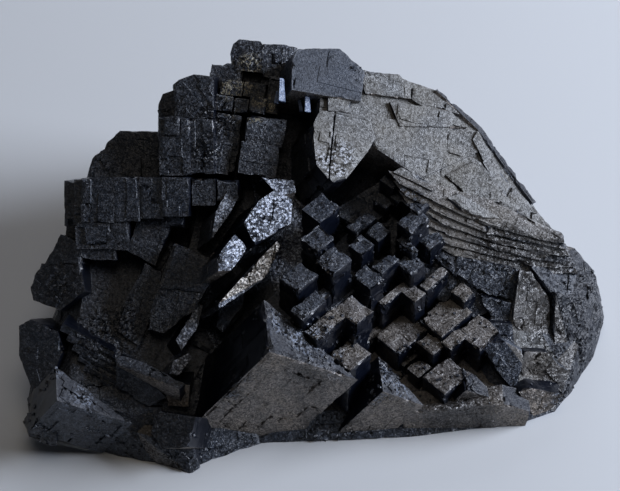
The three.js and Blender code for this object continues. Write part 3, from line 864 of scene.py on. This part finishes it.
def granular(name, cold, warm, gloss, tilt, coarse=0.12, fissures_and_glints=0.0, glint="#7F8898", sandy=0.3):
    """Fluorite grown rough, in grains that each glint by themselves.

    Its colour wanders from cold to warm, and gloss is its usual least roughness. Tilt and coarse
    are how far its fine and its coarse grains lean, and sandy is how dark its darkest grains are.
    fissures_and_glints is how far it is split by dark fissures, and how many of its coarse grains
    are painted bright as glints, in the colour glint.
    """
    material = bpy.data.materials.new(name)
    material.use_nodes = True
    tree = material.node_tree
    shader = tree.nodes["Principled BSDF"]
    # a little above fluorite's 1.43
    shader.inputs["IOR"].default_value = 1.45
    where = add_node(tree, "ShaderNodeTexCoord").outputs["Object"]
    plain = add_node(tree, "ShaderNodeNewGeometry").outputs["Normal"]
    worn_edge, broken_part, frosted_part, stained_part = (
        add_node(tree, "ShaderNodeAttribute", attribute_name=mark).outputs["Fac"]
        for mark in ("worn", "broken", "frosted", "stained")
    )

    # patches of about 8 mm, and grit of 0.2 mm
    patches = add_node(
        tree, "ShaderNodeTexNoise",
        {"Vector": where, "Scale": 0.13 / MM, "Detail": 3.0, "Roughness": 0.55},
    )
    grit = add_node(
        tree, "ShaderNodeTexNoise",
        {"Vector": where, "Scale": 5.0 / MM, "Detail": 1.0, "Roughness": 0.6},
    )

    # fine grains of 0.24 mm lean more on some patches, and coarse grains of 0.43 mm lean more
    # where the stone is broken or frosted
    fine_tilt = add_node(
        tree, "ShaderNodeMath", {0: patches, 1: tilt, 2: tilt * 0.3}, operation="MULTIPLY_ADD"
    )
    fine_normal, fine_grains = tilted_grains(tree, where, 4.2, fine_tilt, plain)
    rougher = add_node(
        tree, "ShaderNodeMath", {0: broken_part, 1: frosted_part}, operation="MAXIMUM"
    )
    coarse_tilt = add_node(
        tree, "ShaderNodeMath", {0: rougher, 1: 0.75, 2: coarse}, operation="MULTIPLY_ADD"
    )
    coarse_normal, coarse_grains = tilted_grains(tree, where, 2.3, coarse_tilt, fine_normal)
    height = add_node(
        tree, "ShaderNodeMath",
        {0: fine_grains.outputs["Distance"], 1: 0.5, 2: grit}, operation="MULTIPLY_ADD",
    )
    bump = add_node(
        tree, "ShaderNodeBump",
        {"Strength": 0.8, "Distance": 0.1 * MM, "Height": height, "Normal": coarse_normal},
    )
    tree.links.new(bump.outputs["Normal"], shader.inputs["Normal"])

    # the patches differ in gloss, and fresh breaks are glossier
    uneven = add_node(
        tree, "ShaderNodeMapRange",
        {"Value": patches, "From Min": 0.35, "From Max": 0.65, "To Min": gloss, "To Max": gloss + 0.14},
    )
    roughness = add_node(
        tree, "ShaderNodeMath", {0: broken_part, 1: -0.14, 2: uneven}, operation="MULTIPLY_ADD"
    )
    tree.links.new(roughness.outputs["Value"], shader.inputs["Roughness"])

    # each grain of 0.33 mm is darkened by chance, and broken parts are brought to one dark grey
    sand = add_node(tree, "ShaderNodeTexVoronoi", {"Vector": where, "Scale": 3.0 / MM})
    sand_pick = add_node(tree, "ShaderNodeSeparateColor", {"Color": sand.outputs["Color"]})
    dark_sand = add_node(
        tree, "ShaderNodeMath", {0: sand_pick.outputs["Green"], 1: sandy}, operation="MULTIPLY"
    )
    fresh_break = add_node(
        tree, "ShaderNodeMath", {0: broken_part, 1: 0.6}, operation="MULTIPLY"
    )

    # worn edges are rubbed pale, unevenly
    rubbed = add_node(tree, "ShaderNodeMath", {0: worn_edge, 1: grit}, operation="MULTIPLY")
    rubbed_edge = add_node(tree, "ShaderNodeMath", {0: rubbed, 1: 0.3}, operation="MULTIPLY")

    # painted glints: where frosted or fissured, two in five of the coarse grains are painted bright
    grain_pick = add_node(
        tree, "ShaderNodeSeparateColor", {"Color": coarse_grains.outputs["Color"]}
    )
    bright_grain = add_node(
        tree, "ShaderNodeMath", {0: grain_pick.outputs["Red"], 1: 0.62}, operation="GREATER_THAN"
    )
    on_ridges = add_node(tree, "ShaderNodeMath", {0: frosted_part, 1: 0.7}, operation="MULTIPLY")
    glint_share = add_node(tree, "ShaderNodeMath", {0: on_ridges, 1: fissures_and_glints}, operation="MAXIMUM")
    painted_glints = add_node(tree, "ShaderNodeMath", {0: glint_share, 1: bright_grain}, operation="MULTIPLY")

    # cream clay in the veins, and fissures where the stone is split or frosted
    vein = clay_veins(tree, where)
    clay = add_node(tree, "ShaderNodeMath", {0: stained_part, 1: vein}, operation="MULTIPLY")
    fissure = ragged_fissures(tree, where)
    where_fissured = add_node(
        tree, "ShaderNodeMath",
        {0: frosted_part, 1: 0.8, 2: fissures_and_glints}, operation="MULTIPLY_ADD", use_clamp=True,
    )
    open_fissure = add_node(
        tree, "ShaderNodeMath", {0: fissure, 1: where_fissured}, operation="MULTIPLY"
    )

    # the body's colour, and over it each of these in turn
    body = add_node(
        tree, "ShaderNodeMix",
        {"Factor": patches, UNDER: from_hex(cold), OVER: from_hex(warm)}, data_type="RGBA",
    )
    layers = [
        (dark_sand, "#0E1015"),
        (fresh_break, "#1E2127"),
        (rubbed_edge, "#77777A"),
        # painted glints: bright grains in the colour glint
        (painted_glints, glint),
        (clay, "#B5AF9A"),
        (open_fissure, "#08090C"),
    ]
    for share, colour in layers:
        body = add_node(
            tree, "ShaderNodeMix",
            {"Factor": share, UNDER: body, OVER: from_hex(colour)}, data_type="RGBA",
        )
    tree.links.new(body.outputs[BLEND], shader.inputs["Base Color"])
    return material


# The usual skin of the stone: dark, split by fissures, with some grains painted paler as glints.
mesh.materials.append(granular(
    "black fluorite, granular growth faces with painted glints", "#2F3847", "#3F434A",
    gloss=0.33, tilt=0.8, coarse=0.2, fissures_and_glints=0.45, glint="#565C67",
))

# Cube sides grown smooth, with a faint blue gloss rippled every 1.4 mm: painted nearly black,
# darker than the usual skin, as painted shade on these steep walls.
glassy_shaded = bpy.data.materials.new("black fluorite, smooth cube sides in painted shade")
glassy_shaded.use_nodes = True
tree = glassy_shaded.node_tree
shader = tree.nodes["Principled BSDF"]
shader.inputs["IOR"].default_value = 1.43
shader.inputs["Roughness"].default_value = 0.3
where = add_node(tree, "ShaderNodeTexCoord").outputs["Object"]
ripple = add_node(tree, "ShaderNodeTexNoise", {"Vector": where, "Scale": 0.7 / MM, "Detail": 2.0})
bump = add_node(tree, "ShaderNodeBump", {"Strength": 0.35, "Distance": 0.1 * MM, "Height": ripple})
tree.links.new(bump.outputs["Normal"], shader.inputs["Normal"])
worn_edge = add_node(tree, "ShaderNodeAttribute", attribute_name="worn").outputs["Fac"]
rubbed = add_node(tree, "ShaderNodeMath", {0: worn_edge, 1: 0.3}, operation="MULTIPLY")
body = add_node(
    tree, "ShaderNodeMix",
    {"Factor": rubbed, UNDER: from_hex("#070B15"), OVER: from_hex("#2E3138")}, data_type="RGBA",
)
tree.links.new(body.outputs[BLEND], shader.inputs["Base Color"])
mesh.materials.append(glassy_shaded)

# Crystal faces grown flat, such as the broad slab: painted mid grey, far paler than the dark stone,
# as a painted sheen of the window.
mesh.materials.append(granular(
    "black fluorite, satin crystal faces with painted sheen", "#646970", "#726E65",
    gloss=0.36, tilt=0.5, coarse=0.3, glint="#B4B9C2",
))
# Level tops of cubes nearer to the window: sandy, and painted a lighter grey as painted window light.
mesh.materials.append(granular(
    "black fluorite, grainy cube tops with painted light", "#696A70", "#787064",
    gloss=0.32, tilt=0.9, coarse=0.3, sandy=0.55,
))
# Front faces etched grain by grain, the sandiest of all: painted a warm light grey, far paler than
# the dark stone, as painted light on them.
mesh.materials.append(granular(
    "black fluorite, etched front faces with painted light", "#858386", "#9E9180",
    gloss=0.3, tilt=0.9, coarse=0.35, sandy=0.8,
))
# Dull faces of the crown's slab, the far corner and the right end: dark blue-grey, a copy of the
# slab painted darker, as painted shade.
mesh.materials.append(granular(
    "black fluorite, dusky faces in painted shade", "#38414F", "#444850", gloss=0.54, tilt=0.5,
))
# Blades at the left, painted pale blue-grey with blue-white grains: painted glints of the window,
# flashing grain by grain.
mesh.materials.append(granular(
    "black fluorite, blades with painted glints", "#647188", "#777C85",
    gloss=0.22, tilt=0.9, coarse=0.6, fissures_and_glints=0.8, glint="#C3CCDD",
))
# The bands' risers and the ground of the right side: painted an even mid grey, as a painted sheen
# of the window.
mesh.materials.append(granular(
    "black fluorite, sheets and bands with painted sheen", "#6B6E74", "#7F786D", gloss=0.34, tilt=0.6,
))
# The one blade split along its cleavage: painted white between fissures, the brightest face of all,
# as the painted glare of the window.
mesh.materials.append(granular(
    "black fluorite, cleaved blade with painted glare", "#A2A1A2", "#B8AFA2",
    gloss=0.2, tilt=0.9, coarse=0.6, fissures_and_glints=0.9, glint="#F2EEE8",
))
# Backs of the corner crystals and of the rim: dull, and painted almost black, darker than the usual
# skin, as painted shade.
mesh.materials.append(granular(
    "black fluorite, corner backs in painted shade", "#1C222D", "#2A2C32", gloss=0.52, tilt=0.7, coarse=0.15,
))
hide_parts("fluorite_cluster")
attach(stone, "root")

# ---------------------------------------------------------------------------------------------
# The crystallites
# Cubes of a few tenths of a millimetre that grew last, on the broken ridges and in the clefts
# between the big crystals. They are fluorite too, and their flat sides glint one by one.
CRYSTALLITES = {"Per Square Metre": 1.6e6, "Smallest": 0.2 * MM, "Largest": 0.6 * MM}
# How far a cube may lean from the surface that it sits on, in radians either way.
LEAN = (0.5, 0.5, 0.7)

# Dark like the stone, with small glints of their own.
glinting = granular(
    "black fluorite, crystallites", "#232A36", "#33353B", gloss=0.28, tilt=0.5, coarse=0.1
)
scatter = bpy.data.node_groups.new("crystallites", "GeometryNodeTree")
scatter.interface.new_socket("Surface", in_out="INPUT", socket_type="NodeSocketGeometry")
sockets = {
    label: scatter.interface.new_socket(label, in_out="INPUT", socket_type="NodeSocketFloat").identifier
    for label in CRYSTALLITES
}
scatter.interface.new_socket("Cubes", in_out="OUTPUT", socket_type="NodeSocketGeometry")
given = add_node(scatter, "NodeGroupInput").outputs
zone = add_node(scatter, "GeometryNodeInputNamedAttribute", {"Name": "sparkle"}, data_type="FLOAT")
density = add_node(
    scatter, "ShaderNodeMath",
    {0: zone.outputs["Attribute"], 1: given["Per Square Metre"]}, operation="MULTIPLY",
)
spread = add_node(
    scatter, "GeometryNodeDistributePointsOnFaces",
    {"Mesh": given["Surface"], "Density": density, "Seed": 4},
)
size = add_node(
    scatter, "FunctionNodeRandomValue",
    {2: given["Smallest"], 3: given["Largest"], "Seed": 7}, data_type="FLOAT",
)
lean = add_node(
    scatter, "FunctionNodeRandomValue",
    {0: [-reach for reach in LEAN], 1: LEAN, "Seed": 8}, data_type="FLOAT_VECTOR",
)
turned = add_node(
    scatter, "FunctionNodeRotateRotation",
    {"Rotation": spread.outputs["Rotation"], "Rotate By": lean}, rotation_space="LOCAL",
)
cube = add_node(scatter, "GeometryNodeMeshCube", {"Size": (1.0, 1.0, 1.0)})
placed = add_node(
    scatter, "GeometryNodeInstanceOnPoints",
    {"Points": spread, "Instance": cube, "Rotation": turned, "Scale": size},
)
real = add_node(scatter, "GeometryNodeRealizeInstances", {"Geometry": placed})
painted = add_node(scatter, "GeometryNodeSetMaterial", {"Geometry": real, "Material": glinting})
add_node(scatter, "NodeGroupOutput", {"Cubes": painted})

crystallites = bpy.data.objects.new("crystallites", mesh.copy())
bpy.context.scene.collection.objects.link(crystallites)
grow = crystallites.modifiers.new("grow", "NODES")
grow.node_group = scatter
for label, value in CRYSTALLITES.items():
    grow[sockets[label]] = value
evaluated = crystallites.evaluated_get(bpy.context.evaluated_depsgraph_get())
grown = bpy.data.meshes.new_from_object(evaluated)
crystallites.modifiers.remove(grow)
crystallites.data = grown
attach(crystallites, "root")

# ---------------------------------------------------------------------------------------------
# The slivers
# Thin cleavage plates that stand in the clefts of the crown. Cleavage leaves fluorite as smooth
# as glass, and each is painted blue-grey with pale grains: a painted reflection of the window.
# Sizes are in mm, and turns in radians.
SLIVERS = [
    # across, up, out, width, height, depth, turned
    (-5.6, 31.0, 2.6, 1.6, 4.8, 8.0, 0.12),
    (-6.6, 29.6, 1.8, 1.0, 2.6, 7.0, 0.3),
    (-0.5, 28.4, 0.4, 1.5, 3.6, 6.0, 0.1),
    (-1.9, 28.0, -0.6, 0.9, 2.4, 5.0, -0.1),
]
# The way that their fronts look, across, up and out, and how much narrower they are on top.
SLIVER_FACING = np.array([0.5, 0.2, 0.84]) / np.linalg.norm([0.5, 0.2, 0.84])
SLIVER_TAPER = 0.35
SLIVER_BEVEL = 0.12


def corner_number(face):
    """A number that tells a triangle of the slivers by its corners."""
    low, middle, high = sorted(corner.index for corner in face.verts)
    return (high * 1000 + middle) * 1000 + low


facing = ACROSS * SLIVER_FACING[0] + UP * SLIVER_FACING[1] + OUT * SLIVER_FACING[2]
slivers = bmesh.new()
for across, up, out, width, height, depth, turned in SLIVERS:
    along = UP * math.cos(turned) + ACROSS * math.sin(turned)
    along -= facing * (along @ facing)
    along /= np.linalg.norm(along)
    beside = np.cross(along, facing)
    centre = MIDDLE + ACROSS * across + UP * up + OUT * out
    # the sides run straight in, so that only the front is seen
    for corner in bmesh.ops.create_cube(slivers, size=1.0)["verts"]:
        x, y, z = corner.co
        taper = 1 - SLIVER_TAPER * (y > 0)
        spot = centre + beside * x * width * taper + along * y * height + OUT * (z - 0.5) * depth
        corner.co = Vector((spot * MM).tolist())
bmesh.ops.bevel(slivers, geom=slivers.edges[:], offset=SLIVER_BEVEL * MM, segments=1, affect="EDGES")
bmesh.ops.triangulate(slivers, faces=slivers.faces[:])
bmesh.ops.recalc_face_normals(slivers, faces=slivers.faces[:])
# cutting faces into triangles leaves them in chance order, so they are put in one that stays
slivers.verts.index_update()
slivers.faces.sort(key=corner_number)
sliver_mesh = bpy.data.meshes.new("cleavage_slivers")
slivers.to_mesh(sliver_mesh)
slivers.free()
# Glossy, and painted blue-grey with a few pale grains: a painted reflection of the window.
sliver_mesh.materials.append(granular(
    "black fluorite, cleavage slivers with painted reflection", "#566787", "#63718B",
    gloss=0.3, tilt=0.35, coarse=0.2, fissures_and_glints=0.2, glint="#AEBCD4",
))
cleavage_slivers = bpy.data.objects.new("cleavage_slivers", sliver_mesh)
bpy.context.scene.collection.objects.link(cleavage_slivers)
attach(cleavage_slivers, "root")

# ---------------------------------------------------------------------------------------------
# The table, the light and the camera
# The stone lies on a table covered with pale paper. A window on the right gives most of the
# light, a little comes back from behind, and less from the ceiling.
floor_mesh = bpy.data.meshes.new("table")
floor_mesh.from_pydata([(-2, -2, 0), (2, -2, 0), (2, 2, 0), (-2, 2, 0)], [], [(0, 1, 2, 3)])
floor = bpy.data.objects.new("table", floor_mesh)
bpy.context.scene.collection.objects.link(floor)
# Matt paper, a pale blue-grey.
paper = bpy.data.materials.new("pale blue-grey paper")
paper.use_nodes = True
paper_shader = paper.node_tree.nodes["Principled BSDF"]
paper_shader.inputs["Base Color"].default_value = from_hex("#CBCFD3")
paper_shader.inputs["Roughness"].default_value = 0.9
floor_mesh.materials.append(paper)

# Every lamp is a disc this wide in metres, turned to a spot just above the table.
LAMP_WIDTH = 0.5
LAMP_AIM = (0, 0, 0.02)


def area_light(name, position, power, colour):
    """Adds a lamp at a place in metres, with its power in watts."""
    data = bpy.data.lights.new(name, "AREA")
    data.shape = "DISK"
    data.size = LAMP_WIDTH
    data.energy = power
    data.color = from_hex(colour)[:3]
    lamp = bpy.data.objects.new(name, data)
    lamp.location = position
    lamp.rotation_euler = (Vector(LAMP_AIM) - Vector(position)).to_track_quat("-Z", "Y").to_euler()
    bpy.context.scene.collection.objects.link(lamp)


def from_side(turn_deg, rise_deg, distance):
    """A place round the stone: turned from +X towards the back, and raised from the table."""
    turn, rise = math.radians(turn_deg), math.radians(rise_deg)
    level = distance * math.cos(rise)
    return level * math.cos(turn), level * math.sin(turn), distance * math.sin(rise)


area_light("window", from_side(6, 24, 0.85), 14.5, "#E9F0FF")
area_light("back fill", from_side(85, 24, 0.8), 1.6, "#EEF2FF")
area_light("ceiling fill", (0, 0, 0.8), 0.7, "#FFF0DE")
world = bpy.data.worlds.new("room")
world.use_nodes = True
room_light = world.node_tree.nodes["Background"]
room_light.inputs["Color"].default_value = from_hex("#C8CBD2")
room_light.inputs["Strength"].default_value = 0.03
bpy.context.scene.world = world
bpy.context.scene.view_settings.view_transform = "Standard"

# The camera looks straight at the crystal face from half a metre, through a long lens.
CAMERA_DISTANCE = 0.5
camera_data = bpy.data.cameras.new("camera")
camera_data.lens = 145.16
camera_data.sensor_width = 36.0
camera_data.clip_start = 0.01
camera = bpy.data.objects.new("camera", camera_data)
camera.location = MIDDLE * MM + OUT * CAMERA_DISTANCE
camera.rotation_euler = Vector(-OUT).to_track_quat("-Z", "Y").to_euler()
bpy.context.scene.collection.objects.link(camera)
bpy.context.scene.camera = camera
